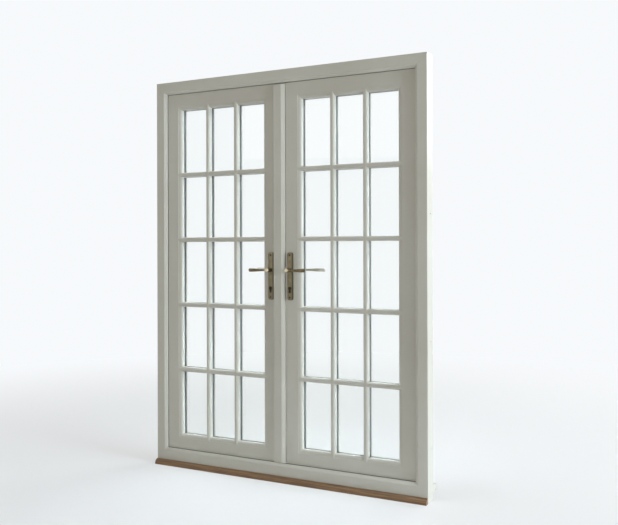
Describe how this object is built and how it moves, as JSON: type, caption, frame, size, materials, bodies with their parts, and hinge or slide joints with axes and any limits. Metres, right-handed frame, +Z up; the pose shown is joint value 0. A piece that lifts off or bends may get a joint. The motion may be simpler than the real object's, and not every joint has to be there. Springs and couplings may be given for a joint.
{
  "type": "glazed french doors with frame",
  "caption": "Pair of outward-opening glazed french doors in a timber frame, with glazing bars, lever handles on long plates, sliding bolts, a dead bolt and butt hinges.",
  "frame": {"origin": "on the floor under the sill, at the middle of the frame's width and depth", "axes": "+Z up, +X to the right seen from the room, +Y out of the room"},
  "size_m": [1.57, 0.159, 2.1],
  "materials": {
    "painted_timber": "satin off-white paint",
    "dark_timber": "dark brown stain",
    "glass": "clear",
    "spacer": "dark anodised",
    "seal": "matt black",
    "aged_brass": "aged, satin",
    "plated_steel": "zinc plated"
  },
  "bodies": {
    "frame": {"frame_head": "painted_timber", "left_jamb": "painted_timber", "right_jamb": "painted_timber", "frame_sill": "painted_timber", "floor_bead": "dark_timber", "weather_seal": "seal", "bolt_keeps": "plated_steel", "frame_hinge_leaves": "aged_brass", "hinge_pins": "aged_brass"},
    "left_leaf": {"meeting_strip": "painted_timber", "left_hinge_stile": "painted_timber", "left_meeting_stile": "painted_timber", "left_top_rail": "painted_timber", "left_bottom_rail": "painted_timber", "left_upright_bars": "painted_timber", "left_cross_bars": "painted_timber", "left_inner_panes": "glass", "left_outer_panes": "glass", "left_pane_spacers": "spacer", "left_glazing_beads": "painted_timber", "left_hinge_leaves": "aged_brass", "left_faceplate": "aged_brass", "left_lock_case": "plated_steel", "left_inside_plate": "aged_brass", "left_outside_plate": "aged_brass", "left_plate_screws": "aged_brass", "left_lock_cylinder": "aged_brass"},
    "right_leaf": {"right_hinge_stile": "painted_timber", "right_meeting_stile": "painted_timber", "right_top_rail": "painted_timber", "right_bottom_rail": "painted_timber", "right_upright_bars": "painted_timber", "right_cross_bars": "painted_timber", "right_inner_panes": "glass", "right_outer_panes": "glass", "right_pane_spacers": "spacer", "right_glazing_beads": "painted_timber", "right_hinge_leaves": "aged_brass", "right_faceplate": "aged_brass", "right_lock_case": "plated_steel", "right_inside_plate": "aged_brass", "right_outside_plate": "aged_brass", "right_plate_screws": "aged_brass", "right_lock_cylinder": "aged_brass"},
    "left_handle": {"left_inside_lever": "aged_brass", "left_outside_lever": "aged_brass", "left_spindle": "plated_steel", "left_follower": "plated_steel"},
    "right_handle": {"right_inside_lever": "aged_brass", "right_outside_lever": "aged_brass", "right_spindle": "plated_steel", "right_follower": "plated_steel"},
    "left_top_bolt": {"left_top_bolt": "plated_steel"},
    "left_bottom_bolt": {"left_bottom_bolt": "plated_steel"},
    "right_top_bolt": {"right_top_bolt": "plated_steel"},
    "right_bottom_bolt": {"right_bottom_bolt": "plated_steel"},
    "left_lock_plug": {"left_lock_plug": "aged_brass"},
    "right_lock_plug": {"right_lock_plug": "aged_brass"},
    "right_dead_bolt": {"right_dead_bolt": "aged_brass"}
  },
  "joints": [
    {"name": "left_leaf_swing", "type": "hinge", "parent": "frame", "child": "left_leaf", "pos_m": [-0.737, 0.0455, 1.06275], "axis": [0, 0, 1], "range_deg": [0, 100]},
    {"name": "right_leaf_swing", "type": "hinge", "parent": "frame", "child": "right_leaf", "pos_m": [0.737, 0.0455, 1.06275], "axis": [0, 0, -1], "range_deg": [0, 100]},
    {"name": "left_handle_turn", "type": "hinge", "parent": "left_leaf", "child": "left_handle", "pos_m": [-0.063, 0, 1.077], "axis": [0, 1, 0], "range_deg": [0, 50]},
    {"name": "left_top_bolt_slide", "type": "slide", "parent": "left_leaf", "child": "left_top_bolt", "axis": [0, 0, 1], "range_m": [0, 0.0106]},
    {"name": "left_bottom_bolt_slide", "type": "slide", "parent": "left_leaf", "child": "left_bottom_bolt", "axis": [0, 0, -1], "range_m": [0, 0.0106]},
    {"name": "left_key_turn", "type": "hinge", "parent": "left_leaf", "child": "left_lock_plug", "pos_m": [-0.063, 0, 0.985], "axis": [0, 1, 0], "range_deg": [0, 360]},
    {"name": "right_handle_turn", "type": "hinge", "parent": "right_leaf", "child": "right_handle", "pos_m": [0.0495, 0, 1.077], "axis": [0, -1, 0], "range_deg": [0, 50]},
    {"name": "right_top_bolt_slide", "type": "slide", "parent": "right_leaf", "child": "right_top_bolt", "axis": [0, 0, 1], "range_m": [0, 0.0106]},
    {"name": "right_bottom_bolt_slide", "type": "slide", "parent": "right_leaf", "child": "right_bottom_bolt", "axis": [0, 0, -1], "range_m": [0, 0.0106]},
    {"name": "right_key_turn", "type": "hinge", "parent": "right_leaf", "child": "right_lock_plug", "pos_m": [0.0495, 0, 0.985], "axis": [0, -1, 0], "range_deg": [0, 360]},
    {"name": "right_dead_bolt_slide", "type": "slide", "parent": "right_leaf", "child": "right_dead_bolt", "axis": [-1, 0, 0], "range_m": [0, 0.016]}
  ],
  "couplings": [
    {"joint": "left_top_bolt_slide", "follows": "left_handle_turn", "m_per_rad": 0.012},
    {"joint": "left_bottom_bolt_slide", "follows": "left_handle_turn", "m_per_rad": 0.012},
    {"joint": "right_top_bolt_slide", "follows": "right_handle_turn", "m_per_rad": 0.012},
    {"joint": "right_bottom_bolt_slide", "follows": "right_handle_turn", "m_per_rad": 0.012},
    {"joint": "right_key_turn", "follows": "right_dead_bolt_slide", "rad_per_m": 392.7}
  ]
}
